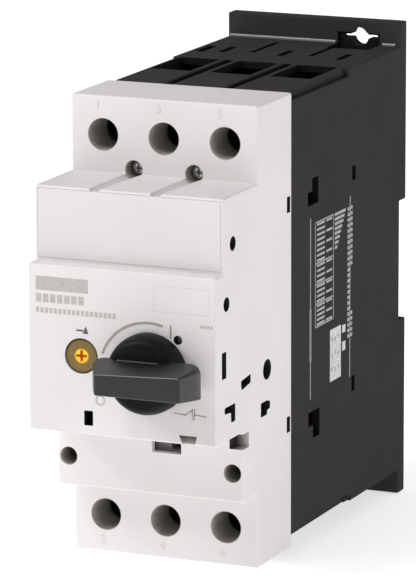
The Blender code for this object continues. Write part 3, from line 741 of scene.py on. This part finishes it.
def make_blank_plate():
    x, z = ((low + PLATE_GAP, high - PLATE_GAP) for low, high in (PLATE_X, PLATE_Z))
    obj = raw_object("blank_plate", softened(block(x, (LABEL_Y, LABEL_Y + 2), z), 0.1), PLATE_WHITE)
    hooks = [block((x - 1.8, x + 1.8), (LABEL_Y + 1, LABEL_Y + 5.2), (29.6, 34.4)) for x in PLATE_HOOKS]
    shaped(obj, "UNION", hooks)
    finished(obj, "blank_plate", ["accessory_blank_plate"])


# ---- Base ----


def pole_span(pole):
    left = -CHAMBER_X if pole == POLES[0] else pole - HALF_PITCH + PARTITION
    right = CHAMBER_X if pole == POLES[-1] else pole + HALF_PITCH - PARTITION
    return left, right


def side_z(side, low, high):
    return (low, high) if side > 0 else (-high, -low)


def base_outline():
    upper = [(BASE_FRONT_Y, BASE_Z), (RAIL_Y, BASE_Z), (RAIL_Y, FLANGE_Z), (BACK_Y, FLANGE_Z)]
    upper += [(BACK_Y, RAIL_HALF_Z), (RAIL_Y, RAIL_HALF_Z)]
    return upper + [(y, -z) for y, z in reversed(upper)]


def base_chambers():
    cutters = []
    for pole in POLES:
        span = pole_span(pole)
        cutters.append(block(span, (SPLIT_Y - 2, -3.0), (-SHELF_Z, SHELF_Z)))
        for side, _ in TERMINALS:
            height = side_z(side, SHELF_Z - 1, BASE_Z - WALL)
            for y in ((SPLIT_Y - 2, SHELF_Y[0]), (SHELF_Y[1], -36.5), (-35.0, -14.0)):
                cutters.append(block(span, y, height))
    return cutters


def through_top(side, outline, lip):
    return opening("Z", outline, side * BASE_Z, side * (BASE_Z - WALL - 1), lip)


def base_slots():
    """Narrow slots through the top and bottom walls, and the grooves in line with the partitions."""
    cutters = []
    for side, _ in TERMINALS:
        for pole in POLES:
            slot = rectangle((pole - 0.4, pole + 1.6), (-28.0, -18.0))
            cutters.append(through_top(side, slot, 0.12))
        cutters.append(through_top(side, rectangle((-24.9, -22.4), (-29.5, -18.5)), 0.12))
        for x in PARTITIONS:
            groove = side_z(side, BASE_Z - 1.2, BASE_Z + 1)
            cutters.append(block((x - 0.9, x + 1.1), (SPLIT_Y - 1, -40.2), groove))
            cutters.append(block((x - 0.7, x + 0.9), (-25.5, -6.0), groove))
    return cutters


def panel_pockets():
    """The hollows that let a screw head down onto each flange."""
    return [block((x - 6.5, x + 6.5), (-9.0, 0.8), side_z(side, 59.0, 66.4)) for side, x, _ in PANEL_HOLES]


def base_openings():
    """The holes for the terminal screws' shanks, and the slotted holes of the flanges."""
    shelf = (SHELF_Y[0] - 1, SHELF_Y[1] + 1)
    cutters = [rod(pole, z, 3.3, shelf, 24) for _, z in TERMINALS for pole in POLES]
    for side, x, z in PANEL_HOLES:
        slot = eased(rectangle((x - 5.7, x + 5.7), (z - 0.6, z + 0.6)), 0.5)
        for outline in (circle(x, z, PANEL_HOLE_R), slot):
            cutters.append(prism("Y", outline, RAIL_Y, BACK_Y + 1))
    return cutters


def cable_entries():
    cutters = []
    for side, _ in TERMINALS:
        for pole in POLES:
            cable = rectangle((pole + CABLE_X[0], pole + CABLE_X[1]), CABLE_Y)
            cutters.append(through_top(side, eased(cable, 0.4), 0.15))
    return cutters


def base_side_windows():
    upper = [(-70.5, 28.9), (-62.9, 28.9), (-62.9, 36.3), (-67.3, 36.3), (-67.3, 32.7), (-70.5, 32.7)]
    lower = [(-69.9, -34), (-66.5, -34), (-66.5, -37.8), (-61.7, -37.8), (-61.7, -30), (-69.9, -30)]
    slots = [rectangle((-37.4, -34.8), (30.5, 34.5)), rectangle((-37.4, -35.0), (-30.8, -26.4))]
    cutters = []
    for outline in (upper, lower, *slots):
        cutters += both_sides(eased(outline, 0.25), BASE_X, BASE_X - CHAMBER_X + 0.6)
    return cutters


def mirrored(inner, outer):
    """The span between two x on the right, and the same on the left."""
    return (inner, outer), (-outer, -inner)


def base_edge_cuts():
    """The stepped edges, the small notch low on each side, and the slits at the steps' ends."""
    cutters = []
    for side, _ in TERMINALS:
        height = side_z(side, BASE_Z - 2.5, BASE_Z + 1)
        cutters += [block(x, (SPLIT_Y - 1, -40.0), height) for x in mirrored(25.2, BASE_X + 1)]
    for x in mirrored(BASE_X - 1.2, BASE_X + 1):
        cutters.append(block(x, (-44.5, -37.5), (-BASE_Z - 1, -BASE_Z + 1.6)))
    for side, _ in TERMINALS:
        height = side_z(side, 56.0, BASE_Z + 1)
        cutters += [block(x, (-42.3, -40.4), height) for x in mirrored(25.4, 26.5)]
    return cutters


def clip_track():
    return [
        block((-9, 9), (3.5, BACK_Y + 1), (-FLANGE_Z - 1, -RAIL_HALF_Z + 1)),
        block((-12, 12), (1.0, 3.9), (-FLANGE_Z - 1, -RAIL_HALF_Z + 1)),
    ]


def base_additions():
    hooks = [block(x, (1.4, 4.7), (15.65, 18.5)) for x in ((-20, -8), (8, 20))]
    posts = [rod(pole, 0, 3.8, (-20.0, -2.0)) for pole in POLES]
    bosses = [rod(x, z, 2.6, (BASE_FRONT_Y, -70.0)) for x, z in TOP_SCREWS]
    bosses += [rod(x, z, 2.5, (BASE_FRONT_Y, -74.6)) for x, z in LOW_SCREWS]
    return [*hooks, *posts, *bosses, block((-2.2, 2.2), (0.5, 3.6), (-49.0, -46.0))]


def partition_ribs():
    """Low ribs along the grooves between the cable entries."""
    ribs = []
    for side, _ in TERMINALS:
        for x in PARTITIONS:
            height = side_z(side, BASE_Z - 0.6, BASE_Z + 0.45)
            ribs.append(block((x - 2.4, x - 1.0), (SPLIT_Y + 0.5, -40.6), height))
    return ribs


def flange_fillets():
    """The small radius where the top and bottom walls run into the mounting flange, in the lighter black of a
    painted highlight.
    """
    mesh = bmesh.new()
    for side, x, _ in PANEL_HOLES:
        for span in ((-BASE_X + 0.6, x - 7.2), (x + 7.4, BASE_X - 1.6)):
            corner = [
                (RAIL_Y + 0.1, side * (BASE_Z - 0.1)),
                (RAIL_Y - 0.75, side * (BASE_Z - 0.02)),
                (RAIL_Y - 0.28, side * (BASE_Z + 0.28)),
                (RAIL_Y - 0.02, side * (BASE_Z + 0.75)),
            ]
            loft("X", [(corner, span[0]), (corner, span[1])], mesh)
    obj = raw_object("flange_fillet", mesh, BLACK_HIGHLIGHT)
    finished(obj, "casing", weighted=False)


def make_base():
    base = raw_object("base_shell", softened(prism("X", base_outline(), -BASE_X, BASE_X), 0.5), BLACK)
    shaped(base, "DIFFERENCE", base_edge_cuts())
    # Chambers with walls in painted shade.
    shaped(base, "DIFFERENCE", base_chambers(), HOLLOW_SHADE)
    shaped(base, "DIFFERENCE", clip_track())
    shaped(base, "UNION", base_additions())
    holes = [rod(x, z, SHANK_HOLE_R, (SPLIT_Y - 1, -71.0), 20) for x, z in TOP_SCREWS]
    holes += [rod(x, z, SHANK_HOLE_R, (SPLIT_Y - 1, -75.4), 20) for x, z in LOW_SCREWS]
    shaped(base, "DIFFERENCE", holes + base_openings())
    shaped(base, "UNION", [softened(rib, 0.2) for rib in partition_ribs()])
    # Entries, slots, pockets and windows with walls in painted shade.
    shaped(base, "DIFFERENCE", cable_entries() + base_slots() + panel_pockets() + base_side_windows(), HOLLOW_SHADE)
    finished(base, "casing", ["base_casing"])


# ---- Controls ----


def grip_mesh():
    """The finger bar, thinner to the front, with its left end slanting back to a pointer."""
    rings = []
    for y, left, right, half, rise, corner in GRIP_SECTIONS:
        low, high = GRIP_Z - half, GRIP_Z + half
        x, z = right - corner, high + rise - corner
        round_corner = [(x + corner * cos(a), z + corner * sin(a)) for a in angles(range(0, 91, 15))]
        rings.append(([(left, low), (right, low), *round_corner, (left, high)], y))
    return softened(loft("Y", rings), 0.5, 4, 40)


def grip_fillet():
    """The small radius where the bar's upper side runs into the disc, in the lighter black of a painted
    highlight.
    """
    y = DISC_Y + 0.05
    profile = [(y, -0.75), (y - 0.45, -0.95), (y - 0.42, -1.25), (y, -1.4)]
    fillet = raw_object("grip_fillet", loft("X", [(profile, 2.4), (profile, 14.2)]), BLACK_HIGHLIGHT)
    finished(fillet, "handle", weighted=False)


def make_handle():
    rear = COVER_Y - 0.3
    hub = [(rear, 0), (rear, HUB_R - 0.3), (rear - 0.3, HUB_R), (rear - 1.9, HUB_R)]
    hub += [(COVER_Y - 2.3 - 4.7 * sin(a), 8.6 + (HUB_R - 8.6) * cos(a)) for a in angles(range(6, 85, 6))]
    hub += [(HUB_Y + 0.35, 8.8), (HUB_Y + 0.1, 8.7), (HUB_Y, 8.4), (HUB_Y, 0)]
    # The hub and its disc in the darker copy of the handle's black, as painted shade.
    handle = raw_object("handle_knob", turned(HUB_X, HUB_Z, hub, 96), HUB_SHADE)
    x, z, radius = DISC
    disc = [(DISC_Y + 2, 0), (DISC_Y + 2, radius), (DISC_Y + 0.3, radius)]
    disc += [(DISC_Y + 0.09, radius - 0.09), (DISC_Y, radius - 0.3), (DISC_Y, 0)]
    shaped(handle, "UNION", [turned(x, z, disc, 80)], HUB_SHADE)
    shaped(handle, "UNION", [grip_mesh()], HANDLE)
    shaped(handle, "DIFFERENCE", [rod(HANDLE_X, HANDLE_Z, 4.3, (COVER_Y - 4, COVER_Y + 2))], HUB_SHADE)
    handle.data.materials.append(BLACK_HIGHLIGHT)
    painted_highlight = len(handle.data.materials) - 1
    # Painted highlight: the upward-facing faces along the grip's front edge and the disc's rim take the
    # lighter black.
    for face in handle.data.polygons:
        upward = face.normal.z > 0.5 and face.normal.y < -0.5
        grip_edge = face.center.y < (GRIP_Y + 1) * MM
        disc_edge = (DISC_Y - 0.01) * MM < face.center.y < (DISC_Y + 0.31) * MM
        if upward and (grip_edge or disc_edge):
            face.material_index = painted_highlight
    finished(handle, "handle", ["rotary_handle"], sharp=32)
    grip_fillet()


def cross_recess(x, z, mouth_y, arm, width, depth, lip=0.12):
    """A cross recess with tapering arms and a pointed middle."""
    half = width / 2
    outline = []
    for a, b in ((1, 0), (0, 1), (-1, 0), (0, -1)):
        outline.append((x + a * arm + b * half, z + b * arm - a * half))
        outline.append((x + a * arm - b * half, z + b * arm + a * half))
        outline.append((x + (a - b) * half, z + (a + b) * half))
    mouth = grown(outline, lip)
    deep = [((p - x) * 0.45 + x, (q - z) * 0.45 + z) for p, q in outline]
    rings = [(mouth, mouth_y - 0.5), (mouth, mouth_y), (outline, mouth_y + lip), (deep, mouth_y + depth)]
    return loft("Y", rings)


def make_dial():
    face = COVER_Y + 0.3
    profile = [(face, 0), (face, DIAL_R - 0.25), (face + 0.07, DIAL_R - 0.07), (face + 0.25, DIAL_R)]
    profile += [(-133.6, DIAL_R), (-133.6, 6.3), (-132.4, 6.3), (-132.4, 2.0), (-116.0, 2.0), (-116.0, 0)]
    dial = raw_object("dial_knob", turned(DIAL_X, DIAL_Z, profile, 64), DIAL)
    shaped(dial, "DIFFERENCE", [cross_recess(DIAL_X, DIAL_Z, face, 1.5, 0.55, 0.9)], DIAL_CROSS)
    finished(dial, "dial", ["setting_dial"])


# ---- Screws and springs ----


def screw_mesh(x, z, head_y, tip_y, head_r, head_depth, shank_r, pitch):
    """A pan-head screw: domed head, and rings in place of its thread."""
    dome = 0.35 * head_depth
    profile = [(head_y, 0), (head_y, head_r * 0.55)]
    profile += [
        (head_y + dome * (1 - cos(a)), head_r * (0.55 + 0.45 * sin(a)))
        for a in angles((25, 50, 75, 90))
    ]
    root_r = shank_r * 0.86
    profile += [(head_y + head_depth, head_r), (head_y + head_depth, root_r)]
    y = head_y + head_depth + pitch
    while y < tip_y - pitch:
        profile += [(y, root_r), (y + pitch / 2, shank_r)]
        y += pitch
    profile += [(tip_y - 0.6 * pitch, root_r), (tip_y, shank_r * 0.6), (tip_y, 0)]
    return turned(x, z, profile, 32)


def make_screw(node, body, x, z, size, material=SCREW):
    low, high = extent(node)
    head_r, head_depth = size[:2]
    screw = raw_object(f"{node}_detail", screw_mesh(x, z, low.y, high.y, *size), material)
    shaped(screw, "DIFFERENCE", [cross_recess(x, z, low.y, head_r * 0.5, head_r * 0.26, head_depth * 0.8)])
    finished(screw, body, [node], sharp=40, weighted=False)


def make_screws():
    for number, pole in enumerate(POLES, start=1):
        for side, z in TERMINALS:
            word = "line" if side > 0 else "load"
            node, body = f"{word}_terminal_screw_{number}", f"{word}_screw_{number}"
            make_screw(node, body, pole, z, TERMINAL_SCREW_SIZE)
    # The lower housing screws sit deep in their wells and take the darker screw steel as painted shade.
    for level, spots, material in (("upper", TOP_SCREWS, SCREW), ("lower", LOW_SCREWS, SCREW_SHADE)):
        for hand, (x, z) in zip(("left", "right"), spots):
            make_screw(f"housing_screw_{level}_{hand}", "casing", x, z, HOUSING_SCREW_SIZE, material)


def sprung(obj, node):
    """A coil, smooth-shaded and fixed in the frame, in place of the spring node that it hides."""
    obj.data.shade_smooth()
    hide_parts(node)
    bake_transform(obj)


def make_springs():
    for number, pole in enumerate(POLES, start=1):
        node = f"contact_spring_{number}"
        low, high = extent(node)
        wire = 0.45
        points = helix((pole, 0), "Y", 2.6, (low.y + wire, high.y - wire), 6)
        spring = raw_object(f"{node}_wire", tube(points, wire), SCREW)
        sprung(spring, node)
    low, high = extent("din_clip_spring")
    y = 2.55
    points = helix((0, y), "Z", 0.9, (low.z + 0.3, high.z - 0.3), 9, 14)
    spring = raw_object("din_clip_spring_wire", tube(points, 0.28, 8), SCREW)
    sprung(spring, "din_clip_spring")


def make_windings():
    """Trip coils: nine turns of round copper wire."""
    for number, pole in enumerate(POLES, start=1):
        node = f"trip_coil_{number}"
        low, high = extent(node)
        wire = 0.85
        points = helix((pole - 1.2, -32.0), "Y", 4.15, (low.y + wire, high.y - wire), 9, 24, 0.0)
        coil = raw_object(f"{node}_winding", tube(points, wire), COPPER)
        finished(coil, "casing", [node], weighted=False)


# ---- Prints ----

PRINT = 0.04  # height of printed ink
SUNK = 0.01  # how far the ink reaches into its face


def marks(name, meshes, material):
    whole = bmesh.new()
    for mesh in meshes:
        data = bpy.data.meshes.new("mark")
        mesh.to_mesh(data)
        mesh.free()
        whole.from_mesh(data)
        bpy.data.meshes.remove(data)
    finished(raw_object(name, whole, material), "casing", weighted=False)


def front_mark(outline, height=PRINT):
    return prism("Y", outline, COVER_Y - height, COVER_Y + SUNK)


def side_mark(outline, height=PRINT):
    return prism("X", outline, BASE_X - SUNK, BASE_X + height)


def arc_band(centre, radius, width, start, end, steps=40):
    """A band along an arc between two angles in degrees."""
    spread = angles(start + (end - start) * i / steps for i in range(steps + 1))
    outer, inner = (
        [(centre[0] + r * cos(a), centre[1] + r * sin(a)) for a in spread]
        for r in (radius + width / 2, radius - width / 2)
    )
    return outer + inner[::-1]


def stroke(start, end, width):
    """A straight line of ink between two points."""
    along = Vector((end[0] - start[0], end[1] - start[1])).normalized() * (width / 2)
    across = Vector((-along.y, along.x))
    a, b = Vector(start), Vector(end)
    corners = (a - across - along, b - across + along, b + across + along, a + across - along)
    return [tuple(corner) for corner in corners]


def digit_object(text, x, z, height):
    """A moulded digit, barely proud of the terminal face."""
    curve = bpy.data.curves.new(f"digit_{text}", "FONT")
    curve.body = text
    curve.size = height * MM * 1.35
    curve.align_x = "CENTER"
    curve.align_y = "CENTER"
    curve.extrude = 0.09 * MM
    curve.resolution_u = 3
    holder = new_object(f"digit_{text}", curve)
    data = evaluated(holder)
    bpy.data.objects.remove(holder)
    data.transform(Matrix.Translation(Vector((x, TERMINAL_Y, z)) * MM) @ Matrix.Rotation(pi / 2, 4, "X"))
    data.materials.clear()
    data.materials.append(PRINT_PALE)
    finished(new_object(f"terminal_number_{text}", data), "casing", weighted=False)


def make_terminal_numbers():
    for number, pole in enumerate(POLES):
        digit_object(str(2 * number + 1), pole - 1.5, 60.1, 2.6)
        digit_object(str(2 * number + 2), pole - 1.0, -61.6, 2.6)


def bar_row(x, z, width, gap):
    """A row of equal bars between two x, in the band z."""
    count = round((x[1] - x[0] + gap) / (width + gap))
    pitch = (x[1] - x[0] + gap) / count
    return [rectangle((x[0] + i * pitch, x[0] + i * pitch + pitch - gap), z) for i in range(count)]


def make_cover_prints():
    arc = arc_band((8.04, -6.56), 14.5, 0.75, 160, 73.5)
    on_bar = stroke((14.4, 4.5), (14.4, 7.7), 0.5)
    marks("position_marks", [front_mark(arc), front_mark(on_bar)], PRINT_GREY)
    rear, front = COVER_Y + SUNK, COVER_Y - PRINT
    ring = turned(-6.3, -14.5, [(rear, 1.0), (rear, 1.45), (front, 1.45), (front, 1.0)], 32)
    marks("off_ring", [ring], PRINT_FAINT)
    pointer = [stroke((-13.0, 4.2), (-11.5, 4.2), 0.45), [(-11.4, 3.4), (-10.4, 5.5), (-9.7, 3.4)]]
    marks("dial_pointer_mark", [front_mark(o) for o in pointer], PRINT_DARK)
    line = [stroke((15.4, -15.9), (18.6, -16.2), 0.34), stroke((18.6, -16.2), (20.4, -14.9), 0.34)]
    line += [stroke((x, -17.2), (x, -14.5), 0.32) for x in (20.6, 21.2)]
    line.append(stroke((21.3, -15.9), (24.6, -16.2), 0.34))
    marks("circuit_mark", [front_mark(o) for o in line], PRINT_GREY)
    pad = rectangle((9.4, 25.6), (11.2, 18.4))
    inner = grown(pad, -0.22)
    frame_line = [[pad[i - 1], pad[i], inner[i], inner[i - 1]] for i in (1, 2, 3, 0)]
    marks("label_outline", [front_mark(o, height=0.02) for o in frame_line], PRINT_PALE)
    bars = bar_row((-25.1, -9.7), (14.4, 18.2), 15.4, 0)
    bars += bar_row((-25.1, -11.0), (11.1, 13.4), 1.5, 0.5)
    bars += bar_row((-25.1, -1.6), (8.2, 9.6), 0.9, 0.45)
    bars += bar_row((22.9, 26.6), (7.8, 8.6), 0.6, 0.35)
    marks("plain_bars", [front_mark(o) for o in bars], PRINT_FAINT)


def make_side_prints():
    """A rating table without lettering: rules, cells and plain bars."""
    left_rule, right_rule = -68.6, -39.0
    lines = [stroke((y, top), (y, -26.0), 0.45) for y, top in ((left_rule, 25.0), (right_rule, 26.0))]
    table = (-65.1, -51.6)
    heights = (23.3, 11.6, 5.65, 0.1, -6.5)
    lines += [stroke((table[0], z), (table[1], z), 0.35) for z in heights]
    lines += [stroke((y, heights[0]), (y, heights[-1]), 0.35) for y in table]
    bars = []
    for top, bottom in zip(heights, heights[1:]):
        count = round((top - bottom) / 1.45)
        for i in range(count):
            z = top - (top - bottom) * (i + 0.5) / count
            bars.append(rectangle((table[0] + 1.2, table[0] + 7.0), (z - 0.33, z + 0.33)))
            if i % 2 == 0:
                bars.append(rectangle((table[0] + 8.2, table[1] - 1.0), (z - 0.33, z + 0.33)))
    for i in range(24):
        z = 22.8 - 1.6 * i
        wide = i < 11 or i > 18
        bars.append(rectangle((-40.9, -37.2 if wide else -39.2), (z - 0.5, z + 0.5)))
    for i in range(8):
        z = 23.0 - 1.35 * i
        bars.append(rectangle((-50.6, -42.4 - 0.9 * i), (z - 0.42, z + 0.42)))
    marks("rating_rules", [side_mark(o) for o in lines], PRINT_LABEL)
    marks("rating_bars", [side_mark(o) for o in bars], PRINT_LABEL)
    solid = [rectangle((-54.0, -45.8), (-24.5, -9.5)), stroke((left_rule, -1.0), (left_rule, -15.0), 1.0)]
    solid += [rectangle((-44.8, -42.4), z) for z in ((-12.2, -10.0), (-17.4, -14.8))]
    marks("rating_block", [side_mark(o) for o in solid], PRINT_BRIGHT)
    specks = []
    for i in range(9):
        y, z = -53.0 + 2.3 * (i % 3), -11.6 - 4.4 * (i // 3) - 0.5 * (i % 2)
        specks.append(rectangle((y, y + 1.1), (z - 1.2, z)))
    marks("rating_specks", [side_mark(o, 2 * PRINT) for o in specks], PRINT_LABEL)


# ---- Pieces that keep their CAD shape ----


def dress(node, material, edge=0.15):
    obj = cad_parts[node]
    obj.data.materials.clear()
    obj.data.materials.append(material)
    obj.data.shade_smooth()
    obj.data.set_sharp_from_angle(angle=radians(35))
    if edge:
        bevel = obj.modifiers.new("edges", "BEVEL")
        bevel.width = edge * MM
        bevel.segments = 2
        bevel.limit_method = "ANGLE"
        bevel.angle_limit = radians(40)


def dress_inner_pieces():
    for number in (1, 2, 3):
        for word in ("line_contact_bar", "load_contact_bar", "load_terminal_bar", "contact_bridge"):
            dress(f"{word}_{number}", COPPER)
        for word in ("line_box_clamp", "load_box_clamp"):
            dress(f"{word}_{number}", STEEL, 0.3)
        for word in ("arc_chute_upper", "arc_chute_lower"):
            dress(f"{word}_{number}", STEEL, 0.1)
        dress(f"trip_plunger_{number}", SCREW, 0)
        dress(f"bimetal_strip_{number}", BIMETAL, 0.1)
    dress("mechanism_frame", STEEL, 0.1)
    dress("latch_lever", STEEL, 0.1)
    for node in ("trip_slide", "test_slide", "contact_carrier", "din_clip"):
        dress(node, GREY)
    dress("handle_shaft", GREY, 0)


# ---- Stage ----

LIGHT_TARGET = Vector((0, -60, 0))


def make_camera():
    """A long lens, a little to the right of the breaker and above it."""
    azimuth, elevation, roll = radians(23.4546), radians(12.2238), radians(-0.1759)
    target = Vector((-3.385, -70.0, 3.345))
    distance = 1278.08
    back = Vector((sin(azimuth) * cos(elevation), -cos(azimuth) * cos(elevation), sin(elevation)))
    across = Vector((cos(azimuth), sin(azimuth), 0))
    up = back.cross(across)
    right = across * cos(roll) + up * sin(roll)
    top = up * cos(roll) - across * sin(roll)
    data = bpy.data.cameras.new("camera")
    data.sensor_width = 36.0
    data.lens = 285.433125
    data.clip_end = 20
    camera = new_object("camera", data)
    spot = (target + back * distance) * MM
    camera.matrix_world = Matrix.Translation(spot) @ Matrix((right, top, back)).transposed().to_4x4()
    bpy.context.scene.camera = camera


def make_floor():
    nodes = Nodes("floor_paper")
    fibres = nodes.noise(30, 3)
    nodes.set(Base_Color=nodes.ramp(fibres, (0.3, (0.90, 0.90, 0.90)), (0.7, (0.93, 0.93, 0.93))))
    nodes.set(Roughness=0.9, Emission_Color=(1.0, 1.0, 1.0), Emission_Strength=0.60)
    mesh = bmesh.new()
    bmesh.ops.create_grid(mesh, x_segments=1, y_segments=1, size=4000)
    bmesh.ops.translate(mesh, vec=(0, 0, -FLANGE_Z - 0.3), verts=mesh.verts)
    raw_object("floor", mesh, nodes.material)


def add_light(name, location, size, power):
    data = bpy.data.lights.new(name, "AREA")
    data.shape = "DISK"
    data.size = size * MM
    data.energy = power
    light = new_object(name, data)
    light.location = Vector(location) * MM
    direction = (LIGHT_TARGET - Vector(location)).normalized()
    light.rotation_euler = direction.to_track_quat("-Z", "Y").to_euler()


def make_lights():
    world = bpy.data.worlds.new("studio")
    world.use_nodes = True
    background = world.node_tree.nodes["Background"]
    background.inputs["Color"].default_value = (1, 1, 1, 1)
    background.inputs["Strength"].default_value = 0.37
    bpy.context.scene.world = world
    add_light("key", (-420, -640, 1040), 500, 5.6)
    add_light("left", (-780, -600, 620), 280, 3.7)
    add_light("fill", (1150, -320, 300), 700, 3.3)
    bpy.context.scene.view_settings.view_transform = "Standard"


def main():
    make_housing()
    make_blank_plate()
    make_base()
    flange_fillets()
    make_handle()
    make_dial()
    make_screws()
    make_springs()
    make_windings()
    make_terminal_numbers()
    make_cover_prints()
    make_side_prints()
    dress_inner_pieces()
    make_camera()
    make_floor()
    make_lights()


main()
